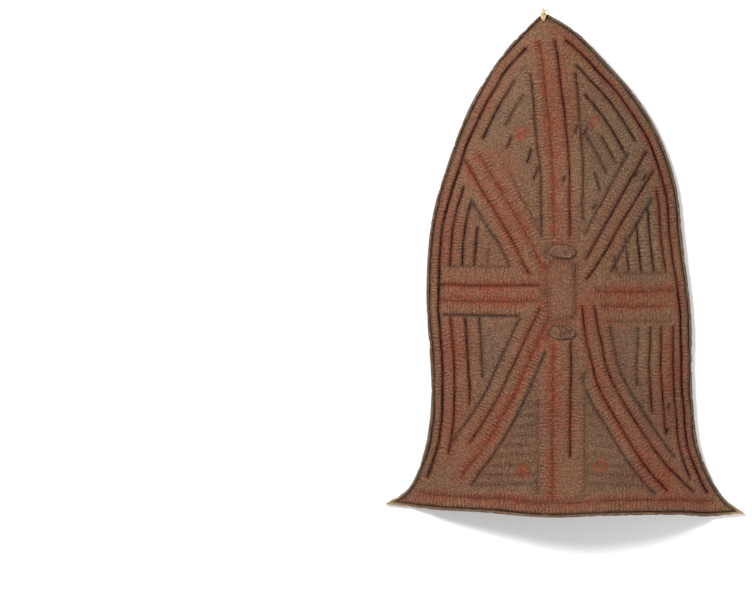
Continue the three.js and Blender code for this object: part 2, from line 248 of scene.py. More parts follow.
class Line(Enum):
    """The kinds of groove."""

    DEEP = Press(core=2.3, dark=1.0, sink=1.0, reach=13, cusp=1.0)
    CUT = Press(core=1.25, dark=0.95, sink=0.95, reach=13, cusp=1.0)
    FINE = Press(core=0.8, dark=0.8, sink=0.8, reach=12, cusp=0.9)
    SOFT = Press(core=1.2, dark=0.45, sink=0.8, reach=16, cusp=0.6)
    FAINT = Press(core=0.6, dark=0.4, sink=0.4, reach=9, cusp=0.7)
    RIPPLE = Press(core=0.4, dark=0.3, sink=0.95, reach=11, cusp=0.4)
    CREASE = Press(core=1.3, dark=0.9, sink=0.75, reach=7, cusp=1.0)
    PAD = Press(core=0.5, dark=0.35, sink=1.0, reach=15, cusp=0.6)
    SLASH = Press(core=1.0, dark=1.0, sink=0.7, reach=5, cusp=1.0)


DEEP, CUT, FINE, SOFT, FAINT, RIPPLE, CREASE, PAD, SLASH = Line
NEITHER, LEFT, RIGHT, BOTH = Field


@dataclass(frozen=True)
class Groove:
    """One groove of a family that runs beside a guide line.

    The offset is measured to the left of the guide's direction; a pair is the offset at the guide's start and
    end. The groove is kept only between low and high along the family's axis.
    """

    offset: float | tuple[float, float]
    line: Line
    low: float
    high: float
    red: float = 0.0
    field: Field = NEITHER


@dataclass(frozen=True)
class Family:
    """Grooves that run beside one guide line. The axis, 0 for x or 1 for y, is the one that limits them."""

    guide: Array
    axis: int
    grooves: tuple[Groove, ...]


FAMILIES = (
    Family(LEFT_EDGE, 1, (
        Groove(-6.5, CREASE, -537, 560),
        Groove((-24, -31), DEEP, -478, 484, red=0.35),
        Groove(-51, CUT, -6, 172, red=0.3),
        Groove(-77, CUT, -3, 142),
        Groove(-104, CUT, -4, 82),
        Groove(-131, FAINT, -4, 36, field=RIGHT),
        Groove(-52, CUT, -425, -117, red=0.5),
        Groove(-83, CUT, -312, -120, red=0.3),
        Groove(-113, FINE, -252, -120, field=RIGHT),
        Groove(-57, CUT, 280, 412, field=RIGHT),
        Groove(-90, FINE, 312, 378, field=BOTH),
        Groove(-113, SLASH, 262, 284, field=BOTH),
        Groove(-165, SLASH, 226, 254, field=BOTH),
        Groove(-190, SLASH, 190, 216, field=BOTH),
    )),
    Family(RIGHT_EDGE, 1, (
        Groove(6.5, CREASE, -559, 562),
        Groove((23, 31), DEEP, -514, 500, red=0.7),
        Groove(48, CUT, -17, 166, red=0.7),
        Groove(75, CUT, -17, 124),
        Groove(104, CUT, -17, 92),
        Groove(133, FINE, -17, 56),
        Groove(162, FINE, -14, 16, field=LEFT),
        Groove(44, CUT, -480, -138, red=0.6),
        Groove(72, CUT, -380, -140, red=0.5),
        Groove(98, CUT, -332, -140, red=0.3),
        Groove(127, FINE, -272, -142, field=LEFT),
        Groove(57, CUT, 278, 442),
        Groove(90, CUT, 250, 376),
        Groove(118, FINE, 225, 286, field=LEFT),
        Groove(149, FINE, 202, 282, field=BOTH),
        Groove(175, SLASH, 164, 200, field=BOTH),
    )),
    Family(FOOT_EDGE, 0, (
        Groove(6.5, CREASE, -400, 400),
        Groove(32, SOFT, -322, 330, red=0.6),
    )),
    Family(UPPER_SPINE, 1, (
        Groove((45, 50), FINE, 62, 425, field=LEFT),
        Groove(18, SOFT, 62, 494, red=1.0),
        Groove(-18, CUT, 62, 500, red=0.4),
        Groove((-47, -54), FINE, 98, 424, field=RIGHT),
    )),
    Family(LOWER_SPINE, 1, (
        Groove(52, FAINT, -520, -240, field=LEFT),
        Groove(20, CUT, -425, -170, red=0.3),
        Groove(-20, SOFT, -528, -178, red=0.9),
        Groove(-52, FAINT, -505, -300, field=RIGHT),
    )),
    Family(LEFT_ARM, 0, (
        Groove(60, FAINT, -272, -128),
        Groove(18, FINE, -284, -64, red=0.7),
        Groove(-17, SOFT, -284, -66, red=1.0),
        Groove(-48, FINE, -276, -108),
    )),
    Family(RIGHT_ARM, 0, (
        Groove(58, FAINT, 110, 238),
        Groove(17, SOFT, 66, 242, red=1.0),
        Groove(-16, SOFT, 78, 212, red=1.0),
        Groove(-49, FAINT, 92, 236, red=0.4),
    )),
    Family(UPPER_LEFT_BRACE, 1, (
        Groove((64, 66), FINE, -5, 142, field=LEFT),
        Groove((35, 33), FINE, -24, 236, red=0.8),
        Groove(0, SOFT, -10, 242, red=1.0),
        Groove((-25, -38), FAINT, 62, 218, field=RIGHT),
    )),
    Family(UPPER_RIGHT_BRACE, 1, (
        Groove((30, 33), FINE, 70, 246, field=LEFT),
        Groove(0, CUT, 10, 252, red=0.2),
        Groove((-25, -38), CUT, -35, 210, red=0.3),
        Groove((-60, -65), FINE, -12, 146, field=RIGHT),
    )),
    Family(LOWER_LEFT_BRACE, 1, (
        Groove(-31, FINE, -400, -118, field=RIGHT),
        Groove(0, FINE, -398, -98, red=0.4),
        Groove((26, 33), SOFT, -478, -118, red=1.0),
        Groove((48, 62), FINE, -492, -195, field=LEFT),
    )),
    Family(LOWER_RIGHT_BRACE, 1, (
        Groove(26, FINE, -432, -140, field=LEFT),
        Groove(0, CUT, -512, -95, red=0.5),
        Groove((-29, -40), CUT, -506, -90, red=1.0),
        Groove((-60, -64), FINE, -512, -250, field=RIGHT),
    )),
)

SLASHES = (
    (20, 300, 14, 70), (40, 295, 12, 60), (60, 128, 10, 50), (80, 82, 8, 60), (-10, 188, 8, 80),
    (155, 203, 12, 55), (175, 195, 10, 60), (225, -375, 12, 75), (228, -318, 10, 80), (-190, 404, 10, 60),
)  # x, y, length and angle of the small slashes

BOSS_CENTRE = (-13.0, -60.0)
BOSS_HALF = (32.0, 66.0)
BOSS_POWER = 0.38
STRAP_CENTRES = ((-12.7, 27.0), (-13.0, -152.0))
STRAP_HALF = (32.0, 13.0)
WRINKLE_PITCH = 22.0
WRINKLED_FIELDS = (
    (LOWER_LEFT_BRACE, (48, 62), -72.0, -318, -505),
    (LOWER_RIGHT_BRACE, (-60, -64), 46.0, -340, -510),
)  # brace, offset of its outer groove, x beside the spine, top and bottom

DOTS = ((-97, 293), (58, 319), (-100, -460), (74, -449))
DOT_RADIUS = 17.0

WASHES = (
    (-30, 505, 60, 34, 0.5), (-58, -62, 12, 66, 0.45), (36, -72, 12, 50, 0.6), (-13, -134, 30, 9, 0.5),
    (212, -472, 40, 20, 1.0), (-250, -260, 34, 170, 0.35), (246, -260, 44, 170, 0.45),
    (160, -66, 110, 15, 0.95), (140, -94, 80, 10, 0.8), (-170, -66, 110, 30, 0.35),
    (-122, 110, 30, 100, 0.8), (-150, 230, 40, 40, 0.45), (-270, 110, 30, 160, 0.3),
    (-24, -350, 38, 190, 0.6), (-20, 300, 46, 200, 0.7), (-40, -528, 260, 16, 0.4), (246, 90, 24, 160, 0.35),
    (-190, -400, 70, 60, 0.35), (-150, 430, 60, 90, 0.2), (70, 440, 70, 90, 0.2), (38, -68, 11, 14, 1.1),
    (-90, -190, 30, 90, 0.25), (90, -250, 34, 110, 0.35),
)  # x, y, half width, half height and strength of the patches of thin red pigment
WASH_STRENGTH = 0.8

SHADE_SPOTS = (
    (-50, 24, 7), (22, -4, 12), (-46, -160, 8), (24, -160, 7), (-52, -6, 9), (-44, -60, 12),
)  # x, y and size of the spots of painted shade at the strap ends and down the left side of the boss
TEAR = (-192, 404)
TEAR_HALF = (9, 4)


def beside(guide: Array, offset: float | tuple[float, float]) -> Array:
    """Moves a guide line sideways; positive is to the left of its direction and a pair changes along it."""
    start, end = offset if isinstance(offset, tuple) else (offset, offset)
    amount = np.linspace(start, end, len(guide))[:, None]
    tangents = directions(guide)
    return guide + amount * np.column_stack([-tangents[:, 1], tangents[:, 0]])


@dataclass
class Reading:
    """What the groove net says at each of many places, as arrays of one shape."""

    gap: Array
    signed: Array
    along: Array
    normal_x: Array
    normal_y: Array
    core: Array
    dark: Array
    sink: Array
    reach: Array
    cusp: Array
    red: Array
    level: Array


class GrooveNet:
    """All the grooves of the face, sampled closely, and the nearest of them to any place."""

    FIELD_LEVEL = 0.5

    def __init__(self) -> None:
        """Lays out every groove of the face."""
        self.rows: list[Array] = []
        for family in FAMILIES:
            length = path_length(family.guide)
            for groove in family.grooves:
                path = beside(family.guide, groove.offset)
                kept = (path[:, family.axis] >= groove.low) & (path[:, family.axis] <= groove.high)
                self._add(path[kept], length[kept], groove.line, groove.red, groove.field)
        self._add_boss()
        self._add_wrinkles()
        for x, y, length, angle in SLASHES:
            reach = Vector((math.cos(math.radians(angle)), math.sin(math.radians(angle)))) * length / 2
            self._add_straight([(x - reach.x, y - reach.y), (x + reach.x, y + reach.y)], SLASH)
        self.samples = np.vstack(self.rows)
        self.nearest = Nearest(self.samples[:, :2])

    def _add(self, path: Array, along: Array, line: Line, red: float, field_side: Field) -> None:
        """Adds one groove's samples.

        Args:
            path: Points of the groove.
            along: Length along the family's guide at each point.
            line: The kind of groove.
            red: How much red pigment lies in it.
            field_side: Which of its sides is plain field.
        """
        ends = np.zeros(len(path))
        ends[0], ends[-1] = -1, 1
        levels = [self.FIELD_LEVEL if is_field else 1.0 for is_field in field_side.value]
        facts = np.tile([*astuple(line.value), red, *levels], (len(path), 1))
        self.rows.append(np.column_stack([path, directions(path), along, ends, facts]))

    def _add_straight(self, ends: Points, line: Line) -> None:
        """Adds a straight groove with plain field on both sides."""
        path = resample(np.array(ends), STEP)
        self._add(path, path_length(path), line, 0.0, BOTH)

    def _add_boss(self) -> None:
        """Adds the groove round the boss, a rounded rectangle run clockwise, with the field outside it."""
        across, along = squarish(np.linspace(0, -2 * math.pi, 160), BOSS_POWER)
        x, y = BOSS_CENTRE[0] + BOSS_HALF[0] * across, BOSS_CENTRE[1] + BOSS_HALF[1] * along
        path = resample(np.column_stack([x, y]), STEP)
        self._add(path, path_length(path), PAD, 0.3, LEFT)

    def _add_wrinkles(self) -> None:
        """Adds the faint wrinkles that cross the two fields at the foot, from the spine to the braces."""
        for guide, offset, spine_x, top, bottom in WRINKLED_FIELDS:
            brace = beside(guide, offset)
            for y in np.arange(top, bottom, -WRINKLE_PITCH):
                brace_x = float(np.interp(-y, -brace[:, 1], brace[:, 0]))
                margin = math.copysign(9, spine_x - brace_x)
                self._add_straight([(brace_x + margin, y), (spine_x, y + 5)], RIPPLE)

    def read(self, x: Array, y: Array) -> Reading:
        """Finds the nearest groove to each place.

        Args:
            x: Places across, in millimetres.
            y: Places along, in millimetres.

        Returns:
            The distance to the groove and what it says there, in the shape of x.
        """
        near = self.samples[self.nearest.find(x, y)[0]]
        at_x, at_y, run_x, run_y, along, end, *facts, left, right = near.T
        away_x, away_y = x.ravel() - at_x, y.ravel() - at_y
        forward, signed = away_x * run_x + away_y * run_y, away_y * run_x - away_x * run_y
        gap = np.where(forward * end > 0, np.hypot(forward, signed), np.abs(signed))
        level = np.where(signed > 0, left, right)
        columns = [gap, np.where(signed < 0, -gap, gap), along + forward, -run_y, run_x, *facts, level]
        return Reading(*(column.reshape(x.shape) for column in columns))


# ---- The bowed hide ----


@dataclass
class HideForm:
    """The plain bowed sheet under the rolls."""

    thickness: float = 5.5
    rise: float = 0.35
    foot_rise_loss: float = 0.06
    head_lift: float = 24.0
    head_lift_from: float = 250.0
    waist: float = -300.0
    wing_slope: float = 0.15
    wing_blend: float = 0.1

    def across(self, edge: Array, y: Array) -> Array:
        """x of a rising edge at the heights y."""
        return np.interp(y, edge[:, 1], edge[:, 0])

    def half_width(self, edge: Array, y: Array) -> Array:
        """Half width of the bowed part on one side of the spine, less in the flat foot wings."""
        width = np.abs(self.across(edge, y) - self.across(SPINE, y))
        waist = abs(float(self.across(edge, self.waist)) - float(self.across(SPINE, self.waist)))
        return np.where(y >= self.waist, width, np.minimum(width, waist + self.wing_slope * (self.waist - y)))

    def back_height(self, x: Array, y: Array) -> Array:
        """Height of the plain back over the floor."""
        left, right = self.half_width(LEFT_EDGE, y), self.half_width(RIGHT_EDGE, y)
        from_spine = x - self.across(SPINE, y)
        bow = 1 - (from_spine / np.where(from_spine < 0, left, right)) ** 2
        rounded = (bow + self.wing_blend) ** 2 / (4 * self.wing_blend)
        softened = np.where(np.abs(bow) < self.wing_blend, rounded, np.maximum(bow, 0))
        rise = self.rise - self.foot_rise_loss * smoothstep(-y, -self.waist - 50, 570)
        lift = self.head_lift * smoothstep(y, self.head_lift_from, HEAD_Y)
        return lift + rise * (left + right) / 2 * softened

    def slant(self, x: Array, y: Array) -> Array:
        """How much longer a height over the floor is than the same thickness square to the hide."""
        slope_x = (self.back_height(x + 1, y) - self.back_height(x - 1, y)) / 2
        slope_y = (self.back_height(x, y + 1) - self.back_height(x, y - 1)) / 2
        return np.sqrt(1 + slope_x**2 + slope_y**2)

    def plan(self, u: Array, v: Array) -> tuple[Array, Array]:
        """Spreads a unit square over the outline.

        Args:
            u: Share from the left edge to the right edge.
            v: Share from the foot to the head.

        Returns:
            The x and the y of each place.
        """
        def between(first: Array, second: Array, share: Array) -> Array:
            return first * (1 - share[..., None]) + second * share[..., None]

        sides = between(along_path(LEFT_EDGE, v), along_path(RIGHT_EDGE, v), u)
        ends = between(along_path(FOOT_EDGE, u), along_path(HEAD_EDGE, u), v)
        foot, head = (between(edge[0], edge[-1], u) for edge in (FOOT_EDGE, HEAD_EDGE))
        placed = sides + ends - between(foot, head, v)
        return placed[..., 0], placed[..., 1]


@dataclass
class Place:
    """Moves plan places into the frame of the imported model, and keeps the height that nothing passes."""

    shift_y: float = field(default_factory=lambda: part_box("hide")[1].y / MM - HEAD_Y)
    footing: float = 0.05
    ceiling: float = field(default_factory=lambda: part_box("hide")[1].z / MM - 0.1)

    def metres(self, x: Array, y: Array, z: Array) -> Array:
        """Plan places and heights in millimetres as rows of metres."""
        return np.column_stack([np.ravel(x), np.ravel(y) + self.shift_y, np.ravel(z)]) * MM

    def inside(self, x: float, y: float, z: float) -> Vector:
        """One place in metres."""
        return Vector((x, y + self.shift_y, z)) * MM


FORM = HideForm()


# ---- Mesh helpers ----


def in_scene(name: str, data: bpy.types.ID) -> bpy.types.Object:
    """Makes an object of a mesh, a light or a camera and puts it in the scene."""
    made = bpy.data.objects.new(name, data)
    bpy.context.scene.collection.objects.link(made)
    return made


def as_piece(name: str, mesh: Mesh, material: Material, node: str) -> bpy.types.Object:
    """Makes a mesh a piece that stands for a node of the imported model.

    Args:
        name: Name of the piece.
        mesh: Its finished mesh, in the frame of the model.
        material: Its finish.
        node: The node that it stands for.

    Returns:
        The new object.
    """
    piece = in_scene(name, mesh)
    mesh.materials.append(material)
    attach(piece, "root")
    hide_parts(node)
    triangles = sum(len(polygon.vertices) - 2 for polygon in mesh.polygons)
    LOG.info("%s: %d triangles, stands for %s", name, triangles, node)
    return piece


def grid_ranks(bm: BMesh, columns: int, rows: int) -> dict[bmesh.types.BMVert, tuple[int, int]]:
    """Column and row of each vertex of a fresh grid of size 0.5."""
    return {
        vert: (round((vert.co.x + 0.5) * columns), round((vert.co.y + 0.5) * rows))
        for vert in bm.verts
    }


def write_attribute(mesh: Mesh, name: str, values: Array) -> None:
    """Stores one number for each vertex under a name that a material can read."""
    attribute = mesh.attributes.new(name, "FLOAT", "POINT")
    attribute.data.foreach_set("value", np.asarray(values, np.float32))


def vertex_places(mesh: Mesh) -> Array:
    """x, y and z of every vertex, in millimetres."""
    places = np.empty(len(mesh.vertices) * 3)
    mesh.vertices.foreach_get("co", places)
    return (places.reshape(-1, 3) / MM).T


def merge(bm: BMesh, part: BMesh) -> None:
    """Adds a part to a bmesh and frees the part."""
    mesh = bpy.data.meshes.new("part")
    part.to_mesh(mesh)
    part.free()
    bm.from_mesh(mesh)
    bpy.data.meshes.remove(mesh)


@dataclass
class Sweep:
    """Carries a closed section along a path, as a tube with rounded ends or as a ring."""

    path: Array
    section: Section
    steps: int = 60
    around: int = 16
    ring: bool = False
    up: tuple[float, float, float] = (0.0, 0.0, 1.0)

    def build(self, place: Place, bm: BMesh) -> None:
        """Adds the swept form to a bmesh.

        Args:
            place: Moves the form into the frame of the model.
            bm: The bmesh that takes it.
        """
        share = np.arange(self.steps + 1) / self.steps
        spine = along_path(self.path, share)
        tangent = directions(spine)
        if self.ring:
            seam = tangent[0] + tangent[-1]
            tangent[0] = tangent[-1] = seam / np.linalg.norm(seam)
        side = np.cross(tangent, np.array(self.up))
        side /= np.linalg.norm(side, axis=1, keepdims=True)
        upright = np.cross(side, tangent)
        shell = bmesh.new()
        bmesh.ops.create_grid(shell, x_segments=self.steps, y_segments=self.around, size=0.5)
        for vert, (step, turn) in grid_ranks(shell, self.steps, self.around).items():
            angle = 2 * math.pi * turn / self.around
            across, height = self.section(np.array(share[step]), np.array(angle))
            x, y, z = spine[step] + side[step] * float(across) + upright[step] * float(height)
            vert.co = place.inside(x, y, z)
        bmesh.ops.remove_doubles(shell, verts=shell.verts, dist=2e-6)
        bmesh.ops.recalc_face_normals(shell, faces=shell.faces)
        merge(bm, shell)


def blunt(share: Array, ends: float = 0.03) -> Array:
    """Size of a strand along its length: full, but drawn in to nothing at its two ends."""
    near_end = np.clip(np.minimum(share, 1 - share) / ends, 0, 1)
    return np.sqrt(1 - (1 - near_end) ** 2)


def smooth_shaded(bm: BMesh, name: str) -> Mesh:
    """Turns a finished bmesh into a smooth-shaded mesh and frees it."""
    for face in bm.faces:
        face.smooth = True
    mesh = bpy.data.meshes.new(name)
    bm.to_mesh(mesh)
    bm.free()
    return mesh


# ---- Node trees ----

Socket = bpy.types.NodeSocket
Feed = Socket | float | tuple[float, ...]


class Tree:
    """Writes nodes into a node tree and links them."""

    COLUMNS, CELL_WIDE, CELL_TALL = 8, 220, 260

    def __init__(self, tree: bpy.types.NodeTree) -> None:
        """Starts on an empty tree."""
        self.tree = tree

    def node(self, kind: str, feeds: dict[str | int, Feed] | None = None, **settings: object) -> bpy.types.Node:
        """Adds a node.

        Args:
            kind: Type name of the node.
            feeds: A value or a socket for each input that isn't left at its default.
            settings: Properties of the node.

        Returns:
            The new node.
        """
        row, column = divmod(len(self.tree.nodes), self.COLUMNS)
        made = self.tree.nodes.new(kind)
        made.location = (column * self.CELL_WIDE, -row * self.CELL_TALL)
        for name, value in settings.items():
            setattr(made, name, value)
        for name, value in (feeds or {}).items():
            if isinstance(value, bpy.types.NodeSocket):
                self.tree.links.new(value, made.inputs[name])
            else:
                made.inputs[name].default_value = value
        return made

    def math(self, operation: str, *values: Feed) -> Socket:
        """Result of a Math node."""
        return self.node("ShaderNodeMath", dict(enumerate(values)), operation=operation).outputs[0]

    def times(self, product: Feed, *factors: Feed) -> Socket:
        """Product of several values."""
        for factor in factors:
            product = self.math("MULTIPLY", product, factor)
        return product

    def weighed(self, *parts: tuple[Socket, float]) -> Socket:
        """Sum of several values, each times its weight."""
        total, *rest = (self.math("MULTIPLY", value, weight) for value, weight in parts)
        for part in rest:
            total = self.math("ADD", total, part)
        return total

    def ramp(self, value: Feed, low: Feed, high: Feed, start: float = 0.0, end: float = 1.0) -> Socket:
        """Eases a value from start at low to end at high."""
        feeds = {"Value": value, "From Min": low, "From Max": high, "To Min": start, "To Max": end}
        return self.node("ShaderNodeMapRange", feeds, interpolation_type="SMOOTHSTEP").outputs[0]

    def mix(self, amount: Feed, first: Feed, second: Feed, blend: str = "MIX") -> Socket:
        """Mixes two colours."""
        feeds = {0: amount, 6: first, 7: second}
        made = self.node("ShaderNodeMix", feeds, data_type="RGBA", blend_type=blend, clamp_factor=True)
        return made.outputs[2]

    def attribute(self, name: str) -> Socket:
        """Number that the mesh keeps under a name."""
        return self.node("ShaderNodeAttribute", attribute_name=name).outputs["Fac"]

    @cached_property
    def place(self) -> Socket:
        """Place on the object, in metres."""
        return self.node("ShaderNodeTexCoord").outputs["Object"]

    def noise(self, scale: Feed, detail: float, roughness: float, vector: Socket | None = None) -> Socket:
        """Grey noise around one half, by the place on the object or by another vector."""
        feeds = {"Vector": vector or self.place, "Scale": scale, "Detail": detail, "Roughness": roughness}
        return self.node("ShaderNodeTexNoise", feeds).outputs["Fac"]

    def toned(self, colour: Feed, tone: Socket) -> Socket:
        """Multiplies a colour by a grey tone."""
        grey = self.node("ShaderNodeCombineColor", dict.fromkeys(range(3), tone)).outputs[0]
        return self.mix(1.0, colour, grey, "MULTIPLY")


class SharedGroup:
    """A node group that several finishes use, built when it is first placed."""

    name = "Shared"
    inputs: dict[str, float] = {}
    outputs: tuple[str, ...] = ()

    def __init__(self) -> None:
        """Builds the group's tree."""
        self.tree = bpy.data.node_groups.new(self.name, "ShaderNodeTree")
        for name, value in self.inputs.items():
            socket = self.tree.interface.new_socket(name, in_out="INPUT", socket_type="NodeSocketFloat")
            socket.default_value = value
        for name in self.outputs:
            self.tree.interface.new_socket(name, in_out="OUTPUT", socket_type="NodeSocketFloat")
        writer = Tree(self.tree)
        entry = writer.node("NodeGroupInput").outputs
        results = self.write(writer, entry)
        writer.node("NodeGroupOutput", dict(zip(self.outputs, results)))

    def write(self, tree: Tree, entry: bpy.types.bpy_prop_collection) -> tuple[Socket, ...]:
        """Writes the group's nodes.

        Args:
            tree: The writer of the group's tree.
            entry: Sockets of the group's inputs.

        Returns:
            One socket for each output.
        """
        raise NotImplementedError

    def place(self, tree: Tree, **values: Feed) -> bpy.types.bpy_prop_collection:
        """Places the group in a material with its own values and gives its outputs."""
        feeds = {name.replace("_", " "): value for name, value in values.items()}
        return tree.node("ShaderNodeGroup", feeds, node_tree=self.tree).outputs


class HideGrain(SharedGroup):
    """Pores and fine cockles of raw hide, as a height and a tone around one half."""

    name = "HideGrain"
    inputs = {"Pore Size": 2.2, "Cockle Size": 7.0}
    outputs = ("Height", "Tone")

    def write(self, tree: Tree, entry: bpy.types.bpy_prop_collection) -> tuple[Socket, ...]:
        """Lays fine pebbles over broader cockles."""
        pore_scale = tree.math("DIVIDE", 1 / MM, entry["Pore Size"])
        cockle_scale = tree.math("DIVIDE", 1 / MM, entry["Cockle Size"])
        feeds = {"Vector": tree.place, "Scale": pore_scale, "Randomness": 1.0}
        pores = tree.node("ShaderNodeTexVoronoi", feeds)
        cockles = tree.noise(cockle_scale, 4.0, 0.66)
        speckle = tree.noise(pore_scale, 2.0, 0.5)
        pebble = tree.ramp(pores.outputs["Distance"], 0.1, 0.62, 1.0, 0.0)
        height = tree.weighed((pebble, 0.45), (cockles, 0.8))
        return height, tree.weighed((cockles, 0.5), (pebble, 0.22), (speckle, 0.36))


class Patina(SharedGroup):
    """Uneven handling marks: broad patches broken up by finer ones, from 0 to 1."""

    name = "Patina"
    inputs = {"Patch Size": 90.0, "Cover": 0.5}
    outputs = ("Mask",)

    def write(self, tree: Tree, entry: bpy.types.bpy_prop_collection) -> tuple[Socket, ...]:
        """Breaks a broad noise with a fine one and cuts it at the cover."""
        broad = tree.noise(tree.math("DIVIDE", 1 / MM, entry["Patch Size"]), 3.0, 0.5)
        total = tree.weighed((broad, 0.7), (tree.noise(130.0, 3.0, 0.6), 0.3))
        low = tree.math("SUBTRACT", 0.85, tree.times(entry["Cover"], 0.7))
        return (tree.ramp(total, low, tree.math("ADD", low, 0.22)),)


class Fibres(SharedGroup):
    """Streaks that run towards the head of the shield, around one half."""

    name = "Fibres"
    inputs = {"Fineness": 9.0}
    outputs = ("Height",)

    def write(self, tree: Tree, entry: bpy.types.bpy_prop_collection) -> tuple[Socket, ...]:
        """Draws a noise out along Y."""
        feeds = {0: tree.place, 1: (900.0, 220.0, 900.0)}
        drawn = tree.node("ShaderNodeVectorMath", feeds, operation="MULTIPLY").outputs[0]
        return (tree.noise(tree.math("DIVIDE", entry["Fineness"], 9.0), 3.0, 0.6, drawn),)


@dataclass(frozen=True)
class Palette:
    """Colours of the shield's finishes, linear."""

    brown: Colour = (0.163, 0.071, 0.040, 1)
    olive: Colour = (0.168, 0.099, 0.054, 1)
    dusk: Colour = (0.100, 0.055, 0.035, 1)
    red: Colour = (0.205, 0.043, 0.020, 1)
    # The next three colours are painted shade: dark brown in the valleys beside the grooves and in the strap's
    # folds and ends, dark red in the valleys where pigment lies, and the shadow line along the bottom of each
    # groove.
    painted_shade_brown: Colour = (0.040, 0.016, 0.009, 1)
    painted_shade_red: Colour = (0.105, 0.016, 0.007, 1)
    groove: Colour = (0.016, 0.005, 0.003, 1)
    pale: Colour = (0.290, 0.165, 0.095, 1)
    cut_edge: Colour = (0.150, 0.105, 0.070, 1)
    rawhide: Colour = (0.300, 0.230, 0.115, 1)
    straw: Colour = (0.640, 0.500, 0.290, 1)
    straw_dark: Colour = (0.300, 0.200, 0.090, 1)


class FinishTree(Tree):
    """Writes a material: its own nodes first, and its shader last."""

    def __init__(self, name: str) -> None:
        """Starts an empty material."""
        self.material = bpy.data.materials.new(name)
        self.material.use_nodes = True
        self.material.node_tree.nodes.clear()
        super().__init__(self.material.node_tree)

    def bump(self, height: Socket, distance: float, strength: float) -> Socket:
        """Normal of a bumped surface."""
        feeds = {"Height": height, "Distance": distance, "Strength": strength}
        return self.node("ShaderNodeBump", feeds).outputs["Normal"]

    def shaded(self, colour: Feed, roughness: Feed, gloss: float, normal: Socket | None = None) -> Material:
        """Ends the material with its shader.

        Args:
            colour: Base colour.
            roughness: Roughness.
            gloss: Specular level.
            normal: Normal of the surface, when it is bumped.

        Returns:
            The finished material.
        """
        feeds = {"Base Color": colour, "Roughness": roughness, "Specular IOR Level": gloss}
        if normal:
            feeds["Normal"] = normal
        shader = self.node("ShaderNodeBsdfPrincipled", feeds)
        self.node("ShaderNodeOutputMaterial", {"Surface": shader.outputs["BSDF"]})
        return self.material


